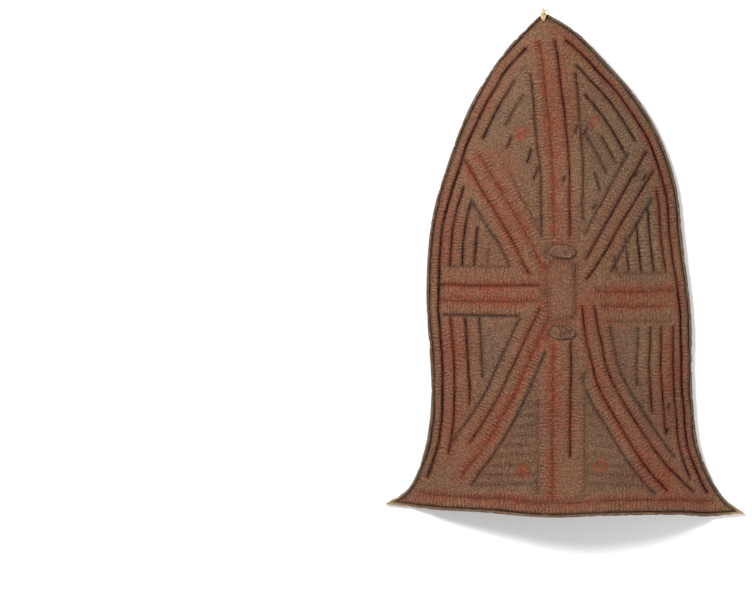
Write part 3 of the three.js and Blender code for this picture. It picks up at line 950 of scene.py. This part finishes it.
class Finishes:
    """Makes the materials, which share three node groups."""

    RIB_PITCH = 7.7

    def __init__(self) -> None:
        """Builds the shared groups."""
        self.palette = Palette()
        self.grain = HideGrain()
        self.patina = Patina()
        self.fibres = Fibres()

    def hide(self) -> Material:
        """Finish of the pressed hide: brown and olive skin, red pigment in the valleys, and painted shade in
        the valleys and along the grooves.
        """
        colours, tree = self.palette, FinishTree("hide_finish")
        grain = self.grain.place(tree, Pore_Size=3.0, Cockle_Size=6.0)
        patchy_mask = self.patina.place(tree, Patch_Size=60.0, Cover=0.42)["Mask"]
        dusty = self.patina.place(tree, Patch_Size=150.0, Cover=0.5)["Mask"]
        gap, red, dark = (tree.attribute(name) for name in ("gap", "red", "dark"))

        # Ribs: fine cockles across the rolls, along the length of the nearest groove.
        drift = tree.ramp(tree.noise(30.0, 2.0, 0.5), 0.3, 0.7, -2.6, 2.6)
        phase = tree.math("ADD", tree.times(tree.attribute("along"), 2 * math.pi / self.RIB_PITCH), drift)
        wave = tree.math("ADD", tree.times(tree.math("SINE", phase), 0.5), 0.5)
        patches = tree.ramp(tree.noise(40.0, 3.0, 0.65), 0.36, 0.62, 0.08, 1.0)
        reach = tree.times(tree.ramp(gap, 0.5, 4.0), tree.ramp(gap, 9.0, 20.0, 1.0, 0.12))
        ribbed = tree.times(patches, reach, tree.attribute("rib"))

        # Skin: brown or olive, darker in the fields, darker still in spots of painted shade at the strap ends
        # and the left of the boss, and lighter on worn crests.
        skin = tree.mix(tree.attribute("olive"), colours.brown, colours.olive)
        skin = tree.mix(tree.times(tree.attribute("field_tone_and_painted_shade"), 0.6), skin, colours.dusk)
        skin = tree.mix(tree.times(patchy_mask, tree.ramp(gap, 4.0, 11.0, 0.0, 0.34)), skin, colours.pale)

        # Pigment: a red wash, broken and rubbed thin in patches.
        rubbed = tree.ramp(tree.noise(60.0, 5.0, 0.68), 0.32, 0.68, 0.45, 1.4)
        painted = tree.mix(tree.times(red, rubbed, 0.7), skin, colours.red)

        # Valleys: painted shade darkens the hide towards each groove, dark red where pigment lies, and a
        # painted shadow line wanders along the groove's bottom.
        valley_shade = tree.times(tree.ramp(gap, 0.0, 8.5, 0.72, 0.0), dark)
        grooved = tree.mix(valley_shade, painted, tree.mix(tree.times(red, 1.3), colours.painted_shade_brown, colours.painted_shade_red))
        strength = tree.ramp(tree.noise(22.0, 3.0, 0.6), 0.35, 0.6, 0.5, 1.0)
        wander = tree.ramp(tree.noise(150.0, 2.0, 0.5), 0.3, 0.7, -0.8, 0.8)
        distance = tree.math("ADD", tree.math("ABSOLUTE", tree.attribute("signed")), wander)
        inside = tree.math("SUBTRACT", tree.attribute("core"), distance)
        line = tree.times(tree.ramp(inside, -0.7, 0.3), tree.ramp(gap, 2.8, 4.4, 1.0, 0.0), dark, strength)
        grooved = tree.mix(line, grooved, colours.groove)

        # Grain: the tone of the pores, the cockles and the ribs over every colour.
        tone = tree.ramp(grain["Tone"], 0.38, 0.66, 0.58, 1.42)
        rib_tone = tree.times(tree.math("SUBTRACT", wave, 0.58), tree.times(ribbed, 0.7))
        toned = tree.toned(grooved, tree.times(tone, tree.math("ADD", 1.0, rib_tone)))

        # Cut edge: greyer hide, and bare rawhide at the two foot corners.
        mottle = tree.ramp(tree.noise(90.0, 3.0, 0.6), 0.35, 0.65)
        edge = tree.mix(mottle, colours.dusk, colours.cut_edge)
        edge = tree.mix(tree.attribute("bare"), edge, colours.rawhide)
        coloured = tree.mix(tree.attribute("lip"), toned, edge)
        coloured = tree.mix(tree.times(dusty, 0.10), coloured, colours.pale)

        heights = tree.weighed((tree.times(wave, ribbed), 0.55), (grain["Height"], 1.3))
        roughness = tree.ramp(grain["Tone"], 0.3, 0.7, 0.68, 0.9)
        return tree.shaded(coloured, roughness, 0.14, tree.bump(heights, 0.0017, 0.9))

    def strap(self) -> Material:
        """Finish of the rawhide straps: brown, with a painted highlight in patches along their edges and
        painted shade in their folds and at their ends.
        """
        colours, tree = self.palette, FinishTree("strap_finish")
        grain = self.grain.place(tree, Pore_Size=2.4, Cockle_Size=4.5)
        patchy_mask = self.patina.place(tree, Patch_Size=12.0, Cover=0.5)["Mask"]
        skin = tree.mix(tree.ramp(grain["Tone"], 0.38, 0.64, 0.0, 0.3), colours.brown, colours.pale)
        # Painted highlight: pale patches along the strap's curled edges, where light catches them.
        skin = tree.mix(tree.times(tree.attribute("polish_and_painted_highlight"), patchy_mask), skin, colours.pale)
        # Painted shade: dark in the folds and at the ends, where the strap dips into its slits.
        skin = tree.mix(tree.times(tree.attribute("deep"), 0.6), skin, colours.painted_shade_brown)
        skin = tree.toned(skin, tree.ramp(grain["Tone"], 0.38, 0.66, 0.6, 1.35))
        roughness = tree.ramp(grain["Tone"], 0.3, 0.7, 0.6, 0.85)
        return tree.shaded(skin, roughness, 0.2, tree.bump(grain["Height"], 0.0022, 1.0))

    def grip(self) -> Material:
        """Finish of the rolled grip: darker, polished by the hand in its middle."""
        colours, tree = self.palette, FinishTree("grip_finish")
        grain = self.grain.place(tree, Pore_Size=2.0, Cockle_Size=9.0)
        skin = tree.mix(tree.ramp(grain["Tone"], 0.3, 0.7), colours.dusk, colours.brown)
        roughness = tree.math("SUBTRACT", 0.8, tree.times(tree.attribute("polish_and_painted_highlight"), 0.38))
        return tree.shaded(skin, roughness, 0.4, tree.bump(grain["Height"], 0.0014, 0.7))

    def tie(self) -> Material:
        """Finish of the fibre tie: dry straw with darker streaks."""
        colours, tree = self.palette, FinishTree("tie_finish")
        streaks = self.fibres.place(tree, Fineness=9.0)["Height"]
        stained = self.patina.place(tree, Patch_Size=12.0, Cover=0.35)["Mask"]
        straw = tree.mix(tree.ramp(streaks, 0.35, 0.6), colours.straw_dark, colours.straw)
        straw = tree.mix(tree.times(stained, 0.4), straw, colours.straw_dark)
        return tree.shaded(straw, 0.85, 0.3, tree.bump(streaks, 0.0008, 0.8))

    def floor(self) -> Material:
        """Finish of the plain pale floor."""
        return FinishTree("floor_finish").shaded((0.86, 0.86, 0.86, 1), 0.9, 0.1)


# ---- The pieces ----


@dataclass
class PressedHide:
    """The body of the shield: a face with all its rolls, a plainer back and the cut edge between them."""

    BACK_GAP: ClassVar[float] = 12.0
    BACK_SIGNED: ClassVar[float] = 40.0
    BACK_LIP: ClassVar[float] = 0.6

    finishes: Finishes
    place: Place
    net: GrooveNet
    columns: int = 240
    rows: int = 360
    back_cell: int = 3
    crest: float = 5.6
    tallest: float = 6.9
    boss_level: float = 1.12
    roundness: float = 0.8
    edge_drop: float = 2.6
    edge_round: float = 3.4
    hollow: float = 0.8
    wander: float = 2.0
    snap: float = 1.5
    fray: float = 1.8
    tear: float = 2.2
    red_spread: float = 15.0

    def build(self) -> bpy.types.Object:
        """Builds the hide as one closed mesh and dresses it."""
        bm = bmesh.new()
        sides: list[dict[str, Array]] = []
        order: list[tuple[int, int, int]] = []
        for side, cell in enumerate((1, self.back_cell)):
            columns, rows = self.columns // cell, self.rows // cell
            sides.append(self._side(columns, rows, is_face=side == 0))
            fresh = bmesh.new()
            bmesh.ops.create_grid(fresh, x_segments=columns, y_segments=rows, size=0.5)
            for vert, (column, row) in grid_ranks(fresh, columns, rows).items():
                vert.co = Vector(sides[side]["place"][row, column])
                order.append((side, row, column))
            if side == 1:
                bmesh.ops.reverse_faces(fresh, faces=fresh.faces)
            merge(bm, fresh)
        self._close_edge(bm)
        mesh = smooth_shaded(bm, "pressed_hide")
        mesh.set_sharp_from_angle(angle=math.radians(62))
        for name in sides[0]:
            if name != "place":
                write_attribute(mesh, name, np.array([sides[a][name][b, c] for a, b, c in order]))
        return as_piece("pressed_hide", mesh, self.finishes.hide(), "hide")

    def _close_edge(self, bm: BMesh) -> None:
        """Joins the rims of the face and the back by the wall of the cut edge."""
        rims = [edge for edge in bm.edges if edge.is_boundary]
        walls = bmesh.ops.bridge_loops(bm, edges=rims)["faces"]
        for face in walls:
            for edge in face.edges:
                edge.smooth = edge not in rims
        bmesh.ops.recalc_face_normals(bm, faces=bm.faces)

    def _side(self, columns: int, rows: int, is_face: bool) -> dict[str, Array]:
        """Works out one side of the hide.

        Args:
            columns: Cells across.
            rows: Cells from foot to head.
            is_face: True for the face, False for the back.

        Returns:
            The place of each grid vertex, and what the material reads there.
        """
        u, v = np.meshgrid(np.arange(columns + 1) / columns, np.arange(rows + 1) / rows)
        x, y = FORM.plan(u, v)
        reading = self.net.read(*self._warp(x, y))
        if is_face:
            near = (u > 0) & (u < 1) & (v > 0) & (v < 1) & (reading.gap < self.snap)
            x = np.where(near, x - reading.normal_x * reading.signed, x)
            y = np.where(near, y - reading.normal_y * reading.signed, y)
            reading.gap = np.where(near, 0, reading.gap)
            reading.signed = np.where(near, 0, reading.signed)
        edge, inward_x, inward_y = self._edge_distance(x, y)
        relief = self._relief(x, y, reading, edge)
        facts = self._facts(x, y, reading, edge, is_face)
        ragged = np.maximum(0, soft_noise(x, y, 12, 13) + 0.5 * soft_noise(x, y, 5, 14) - 0.1)
        torn = np.exp(-(((x - TEAR[0]) / TEAR_HALF[0]) ** 2 + ((y - TEAR[1]) / TEAR_HALF[1]) ** 2))
        fray = (self.fray * ragged + self.tear * torn) * (1 - smoothstep(edge, 0, 9))
        x, y = x + inward_x * fray, y + inward_y * fray
        height = FORM.back_height(x, y) + self._lumps(x, y, edge)
        if is_face:
            height += (FORM.thickness + relief) * FORM.slant(x, y)
        else:
            height += self.hollow * blurred(np.maximum(relief, 0), 2) * smoothstep(edge, 4, 14)
        places = self.place.metres(x, y, np.clip(height, self.place.footing, self.place.ceiling))
        return {"place": places.reshape(rows + 1, columns + 1, 3), **facts}

    def _warp(self, x: Array, y: Array) -> tuple[Array, Array]:
        """Lets the pressed lines wander as a hand-made line does."""
        return (
            x + self.wander * (soft_noise(x, y, 60, 1) + 0.4 * soft_noise(x, y, 21, 2)),
            y + self.wander * (soft_noise(x, y, 60, 3) + 0.4 * soft_noise(x, y, 21, 4)),
        )

    def _edge_distance(self, x: Array, y: Array) -> tuple[Array, Array, Array]:
        """Distance of each place from the cut edge, and the direction in from there as its x and y."""
        sides = ((LEFT_EDGE, -1), (RIGHT_EDGE, 1), (FOOT_EDGE, 1))
        inward = np.vstack([side * directions(edge) @ np.array([[0, 1], [-1, 0]]) for edge, side in sides])
        index, distance = Nearest(np.vstack([edge for edge, _ in sides])).find(x, y)
        return tuple(column.reshape(x.shape) for column in (distance, *inward[index].T))

    def _lumps(self, x: Array, y: Array, edge: Array) -> Array:
        """Slow unevenness of the whole sheet, none at the cut edge."""
        slow = 0.9 * soft_noise(x, y, 95, 5) + 0.6 * soft_noise(x, y, 38, 6)
        return (slow - 1.1) * smoothstep(edge, 0, 60)

    def _relief(self, x: Array, y: Array, reading: Reading, edge: Array) -> Array:
        """Height of the rolls above the plain face."""
        reach, sink, cusp = (blurred(fact, 2) for fact in (reading.reach, reading.sink, reading.cusp))
        t = np.clip(reading.gap / reach, 0, 1)
        rise = cusp * (1 - (1 - t) ** 2) ** self.roundness + (1 - cusp) * smoothstep(t, 0, 1)
        level = np.where(beyond(x, y, BOSS_CENTRE, BOSS_HALF) < 0, self.boss_level, reading.level)
        for centre in STRAP_CENTRES:
            level = level * smoothstep(beyond(x, y, centre, STRAP_HALF), 0, 9)
        relief = self.crest * blurred(level, 6) * (1 - sink * (1 - rise))
        relief += 0.4 * soft_noise(x, y, 13, 7) + 0.22 * soft_noise(x, y, 7, 8) - 0.3
        relief -= self.edge_drop * (1 - np.clip(edge / self.edge_round, 0, 1)) ** 2
        return np.clip(relief, -self.edge_drop, self.tallest)

    def _facts(self, x: Array, y: Array, reading: Reading, edge: Array, is_face: bool) -> dict[str, Array]:
        """What the material reads at each vertex: the groove nearby, the pigment, the field tone with its
        painted shade, and the edge.
        """
        red = reading.red * np.exp(-((reading.gap / self.red_spread) ** 2))
        for wash_x, wash_y, across, along, strength in WASHES:
            away = ((x - wash_x) / across) ** 2 + ((y - wash_y) / along) ** 2
            amount = WASH_STRENGTH * strength * np.exp(-away)
            red = red + amount - red * amount
        ragged = DOT_RADIUS + 3 * soft_noise(x, y, 9, 9)
        for dot_x, dot_y in DOTS:
            dot = 1 - smoothstep(np.hypot(x - dot_x, y - dot_y), ragged - 7, ragged + 4)
            red = np.maximum(red, 1.1 * dot)
        red = np.clip(red * (1 + 0.4 * soft_noise(x, y, 34, 10)), 0, 1)
        in_field = smoothstep(1 - blurred(reading.level, 4), 0.1, 0.5)
        field_tone_and_painted_shade = 0.5 * in_field + 0.5 * np.clip(soft_noise(x, y, 120, 11), 0, 1)
        # Painted shade: dark spots where the straps dip into their slits and down the left side of the boss,
        # over the darker field tone.
        for spot_x, spot_y, size in SHADE_SPOTS:
            field_tone_and_painted_shade = np.maximum(field_tone_and_painted_shade, 1.5 * np.exp(-(((x - spot_x) ** 2 + (y - spot_y) ** 2) / size**2)))
        olive = 0.3 + 0.5 * smoothstep(x + 0.4 * y, -20, 260) + 0.25 * in_field + 0.4 * soft_noise(x, y, 70, 12)
        corner = smoothstep(-y, 480, 550) * smoothstep(np.abs(x), 335, 400)
        face, back = float(is_face), float(not is_face)
        return {
            "gap": reading.gap + self.BACK_GAP * back, "signed": reading.signed + self.BACK_SIGNED * back,
            "along": reading.along, "rib": self._rib_weight(x, y, reading), "core": reading.core,
            "dark": reading.dark * face, "red": red * face, "field_tone_and_painted_shade": field_tone_and_painted_shade, "olive": np.clip(olive, 0, 1),
            "lip": (1 - smoothstep(edge, 4.5, 7)) * (face + self.BACK_LIP * back),
            "bare": corner * (1 - smoothstep(edge, 3, 8)),
        }

    def _rib_weight(self, x: Array, y: Array, reading: Reading) -> Array:
        """1 where the length along the grooves runs on evenly, and 0 where it jumps between two grooves."""
        weight = np.ones_like(x)
        for axis in range(2):
            run = np.hypot(np.gradient(x, axis=axis), np.gradient(y, axis=axis))
            slope = np.abs(np.gradient(reading.along, axis=axis)) / np.maximum(run, 0.5)
            weight *= 1 - smoothstep(slope, 1.3, 2.2)
        return blurred(weight, 1)


@dataclass
class BridgeStrap:
    """A hide strap that bridges the face, passes through two slits and holds one foot of the grip."""

    finishes: Finishes
    place: Place
    node: str
    y: float
    knotted: float
    seed: int
    crown: float = 1.6
    curl: float = 1.1
    pinch: float = 0.62
    fold: float = 2.2
    skew: float = 1.2
    across: float = 66.0
    width: float = 30.0
    thick: float = 4.6

    def build(self) -> bpy.types.Object:
        """Builds the strap as a closed ring."""
        low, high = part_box(self.node)
        centre_x = (low.x + high.x) / 2 / MM
        top = high.z / MM - self.thick / 2 - 0.2
        bottom = low.z / MM + self.thick / 2
        across, upright = squarish(np.linspace(0, 2 * math.pi, 145), 0.46)
        x = centre_x + (self.across - self.thick) / 2 * across
        z = (top + bottom) / 2 + (top - bottom) / 2 * upright
        path = np.column_stack([x, np.full_like(x, self.y), z])
        bm = bmesh.new()
        Sweep(path, self._section, steps=168, around=48, ring=True, up=(0.0, 1.0, 0.0)).build(self.place, bm)
        self._crumple(bm, centre_x, top)
        mesh = smooth_shaded(bm, self.node)
        for name, values in self._painted_highlight_and_shade(mesh).items():
            write_attribute(mesh, name, values)
        return as_piece(self.node + "_hide", mesh, self.finishes.strap(), self.node)

    def _section(self, _: Array, angle: Array) -> tuple[Array, Array]:
        """Flat section with rounded edges, the same all along."""
        return self.thick / 2 * squarish(angle, 0.7)[0], self.width / 2 * squarish(angle, 0.45)[1]

    def _folds(self, x: Array, y: Array) -> Array:
        """How near each place is to the top of a fold, from 0 to 1."""
        return np.abs(soft_noise(x + 0.6 * y, y - 0.3 * x, 7.5, self.seed))

    def _crumple(self, bm: BMesh, centre_x: float, top: float) -> None:
        """Draws the bridge in towards its two ends, crowns it, curls its edges and folds it.

        Args:
            bm: The plain strap.
            centre_x: Middle of the bridge, in millimetres.
            top: Height of the middle of the bridge's thickness, in millimetres.
        """
        middle_y = self.y + self.place.shift_y
        x, y, z = (np.array([vert.co for vert in bm.verts]) / MM).T
        share = np.abs(x - centre_x) / (self.across / 2)
        side = (y - middle_y) / (self.width / 2)
        over = smoothstep(z, top - 16, top - 4)
        drawn_in = 1 - (self.pinch * smoothstep(share, 0.3, 1.05) + 0.04) * over
        crown = self.crown * (1 - share**2) * (1 - side**2)
        curl = self.curl * np.exp(-(((np.abs(side) - 0.82) / 0.2) ** 2)) * (1 - 0.4 * share)
        folds = self.knotted * self.fold * self._folds(x, y)
        lift = crown + curl - folds + 0.5 * soft_noise(x, y, 12, self.seed + 1)
        skew = self.skew * soft_noise(x, 0.3 * y, 16, self.seed + 2)
        moved_y = middle_y + (y - middle_y) * drawn_in + skew * over
        moved_z = np.minimum(z + lift * over, self.place.ceiling)
        for vert, new_y, new_z in zip(bm.verts, moved_y * MM, moved_z * MM):
            vert.co.y, vert.co.z = new_y, new_z

    def _painted_highlight_and_shade(self, mesh: Mesh) -> dict[str, Array]:
        """How strongly a painted highlight lies on each vertex at the strap's edges, and how much painted shade
        it takes in a fold or at an end.
        """
        x, y, _ = vertex_places(mesh)
        from_middle = np.abs(y - self.place.shift_y - self.y)
        ends = smoothstep(np.abs(x - x.mean()), 27, 33)
        deep = np.maximum(smoothstep(self._folds(x, y), 0.25, 0.55) * min(1, self.knotted + 0.3), ends)
        return {"polish_and_painted_highlight": smoothstep(from_middle, 7, 12) * (1 - ends), "deep": deep}


@dataclass
class HandGrip:
    """Bar of rolled hide on the back, with its lap seam."""

    finishes: Finishes
    place: Place
    wide: float = 24.0
    thick: float = 14.0
    seam: float = 1.3

    def build(self) -> bpy.types.Object:
        """Builds the bar between its two flattened feet."""
        low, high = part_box("hand_grip")
        centre_x = (low.x + high.x) / 2 / MM
        foot_y, head_y = low.y / MM - self.place.shift_y, high.y / MM - self.place.shift_y
        foot_z, bar_z = high.z / MM - self.thick / 2 - 1.5, low.z / MM + self.thick / 2 + 1
        stations = ((1, foot_z - 0.5), (30, foot_z - 0.6), (52, (foot_z + bar_z) / 2), (74, bar_z))
        path = smooth_line([
            *((centre_x, head_y - inset, z) for inset, z in stations),
            *((centre_x, foot_y + inset, z) for inset, z in reversed(stations)),
        ])
        bm = bmesh.new()
        Sweep(path, self._section, steps=150, around=40, up=(1.0, 0.0, 0.0)).build(self.place, bm)
        mesh = smooth_shaded(bm, "rolled_grip")
        middle = (foot_y + head_y) / 2 + self.place.shift_y
        write_attribute(mesh, "polish_and_painted_highlight", 1 - smoothstep(np.abs(vertex_places(mesh)[1] - middle), 25, 60))
        return as_piece("rolled_grip", mesh, self.finishes.grip(), "hand_grip")

    def _section(self, share: Array, angle: Array) -> tuple[Array, Array]:
        """Oval section with a groove where the roll's edge laps over itself."""
        size = blunt(share, 0.035)
        flatten = 1 - 0.12 * np.cos(4 * math.pi * share)
        lap = 1 - self.seam / 8 * np.exp(-(((angle - 4.1 - 0.25 * np.sin(9 * share)) / 0.16) ** 2))
        uneven = 1 + 0.02 * np.sin(3 * angle + 21 * share) + 0.015 * np.sin(5 * angle - 33 * share)
        across = self.thick / 2 * size * np.sin(angle) * lap * uneven * flatten
        height = self.wide / 2 * size * np.cos(angle) * lap * uneven
        return across, height


@dataclass
class HeadTie:
    """Stiff fibre tie through the head: a few strands round the edge, a knot, a small loop and loose ends."""

    finishes: Finishes
    place: Place
    LOOP: ClassVar[Points] = (
        (0, 0, 0), (2, 4.5, 1), (7, 6.3, 1.2), (12, 3.5, 0.6), (12.5, -1.5, 0), (8, -3.5, 0.4), (2, -1, 0.4),
    )
    LOOSE_ENDS: ClassVar[Points] = (
        (-4.0, 10.5, 1.0), (-1.6, 13.0, 1.1), (1.0, 12.2, 0.9), (-7.0, 7.0, 0.7), (3.6, 9.5, 0.8),
    )  # lean, rise and radius
    LEANS: ClassVar[tuple[float, ...]] = (-5.2, -2.0, 1.6, 5.0)

    strand: float = 1.35
    loop_strand: float = 1.15
    x: float = -51.0
    edge_y: float = 558.0
    hole_inset: float = 12.0

    def build(self) -> bpy.types.Object:
        """Builds every strand into one piece."""
        bm = bmesh.new()
        for path, radius in self._strands():
            tube = Sweep(smooth_line(path, 0.6), self._round(radius), steps=64, around=10, up=(0.35, 0.2, 0.91))
            tube.build(self.place, bm)
        mesh = smooth_shaded(bm, "fibre_tie")
        return as_piece("fibre_tie", mesh, self.finishes.tie(), "head_tie")

    def _round(self, radius: float) -> Section:
        """Section of one strand: round, with a slight twist of flats."""
        def section(share: Array, angle: Array) -> tuple[Array, Array]:
            size = radius * blunt(share, 0.05) * (1 + 0.12 * np.sin(3 * angle + 30 * share))
            return size * np.cos(angle), size * np.sin(angle)
        return section

    def _strands(self) -> list[tuple[Points, float]]:
        """Routes of the strands and their radii."""
        x, edge_y, hole_y = self.x, self.edge_y, self.edge_y - self.hole_inset

        def over(y: float) -> float:
            here = np.array(x), np.array(y)
            return float(FORM.back_height(*here) + (FORM.thickness + 5.5) * FORM.slant(*here)) + 1.6

        def under(y: float) -> float:
            return float(FORM.back_height(np.array(x), np.array(y))) - 3.4

        routes: list[tuple[Points, float]] = []
        top, end = over(hole_y), edge_y + 3.4
        for n, lean in enumerate(self.LEANS):
            routes.append(([
                (x + 0.3 * lean, hole_y, under(hole_y) + 3), (x + 0.3 * lean, hole_y, top - 1),
                (x + 0.7 * lean, hole_y + 5, top + 0.6 + 0.3 * n), (x + lean, end - 3, over(edge_y) + 1.2),
                (x + lean, end, over(edge_y) - 2), (x + 0.8 * lean, end + 0.4, (over(end) + under(end)) / 2),
                (x + 0.8 * lean, end - 1, under(edge_y) - 0.4),
                (x + 0.5 * lean, hole_y + 4, under(hole_y + 4) - 0.8),
                (x + 0.3 * lean, hole_y, under(hole_y) + 1),
            ], self.strand))
        knot = np.array((x + 0.5, edge_y + 4.0, over(edge_y) - 0.5))
        for turn in range(3):
            routes.append((self._coil(knot, 4.4 - 0.4 * turn, 0.9 * turn), self.strand))
        routes.append((knot + self.LOOP, self.loop_strand))
        for lean, rise, radius in self.LOOSE_ENDS:
            route = ((0, -1, 0), (0.4 * lean, 0.5 * rise, 1), (lean, rise - 1.4, 0.4))
            routes.append((knot + route, radius))
        return routes

    def _coil(self, centre: Array, radius: float, tilt: float) -> Points:
        """One turn of the knot about its centre."""
        turn = np.linspace(0, 1.9 * math.pi, 12)
        across, z = radius * np.cos(turn), 0.8 * radius * np.sin(turn)
        y = 0.75 * across * math.sin(tilt) + 0.5 * np.sin(2 * turn)
        return centre + np.column_stack([across * math.cos(tilt), y, z])


# ---- Floor, light and camera ----


@dataclass
class Studio:
    """Plain pale floor, soft light from the upper left and a camera that looks down on the face."""

    finishes: Finishes
    place: Place
    height: float = 7.0
    frame_width: float = 1.692
    offset: tuple[float, float] = (-0.4252, -0.0799)
    ambient: float = 0.37

    def build(self) -> None:
        """Makes the floor, the lights, the world and the camera."""
        self._floor()
        self._light("key", (-2.8, 2.4, 3.6), 1.3, 355)
        self._light("fill", (2.8, -2.2, 2.7), 2.4, 120)
        self._world()
        self._camera()
        bpy.context.scene.view_settings.view_transform = "Standard"
        LOG.info("studio made")

    def _floor(self) -> None:
        """Lays the floor."""
        bm = bmesh.new()
        bmesh.ops.create_grid(bm, x_segments=4, y_segments=4, size=8)
        mesh = smooth_shaded(bm, "floor")
        mesh.materials.append(self.finishes.floor())
        in_scene("floor", mesh)

    def _light(self, name: str, place: tuple[float, float, float], size: float, power: float) -> None:
        """Hangs a square soft light that faces the shield."""
        lamp = bpy.data.lights.new(name, "AREA")
        lamp.shape, lamp.size, lamp.energy = "SQUARE", size, power
        holder = in_scene(name, lamp)
        holder.location = place
        holder.rotation_euler = (-Vector(place)).to_track_quat("-Z", "Y").to_euler()

    def _world(self) -> None:
        """Fills the room with even white light."""
        world = bpy.data.worlds.new("room")
        world.use_nodes = True
        background = world.node_tree.nodes["Background"]
        background.inputs["Color"].default_value = (1.0, 0.99, 0.97, 1)
        background.inputs["Strength"].default_value = self.ambient
        bpy.context.scene.world = world

    def _camera(self) -> None:
        """Hangs the camera over a point beside the shield, level with the floor."""
        lens = bpy.data.cameras.new("camera")
        lens.sensor_width = 36.0
        lens.lens = lens.sensor_width * self.height / self.frame_width
        lens.clip_end = 30.0
        camera = in_scene("camera", lens)
        camera.location = (self.offset[0], self.offset[1] + self.place.shift_y * MM, self.height)
        bpy.context.scene.camera = camera


def main() -> None:
    """Builds the pieces in order, then the studio."""
    logging.basicConfig(level=logging.INFO, format="%(name)s: %(message)s")
    place = Place()
    finishes = Finishes()
    Studio(finishes, place).build()
    PressedHide(finishes, place, GrooveNet()).build()
    upper_y, lower_y = (y for _, y in STRAP_CENTRES)
    BridgeStrap(finishes, place, "upper_strap", upper_y, knotted=0.6, seed=21).build()
    BridgeStrap(finishes, place, "lower_strap", lower_y, knotted=0.9, seed=31).build()
    HandGrip(finishes, place).build()
    HeadTie(finishes, place).build()


if __name__ == "__main__":
    main()
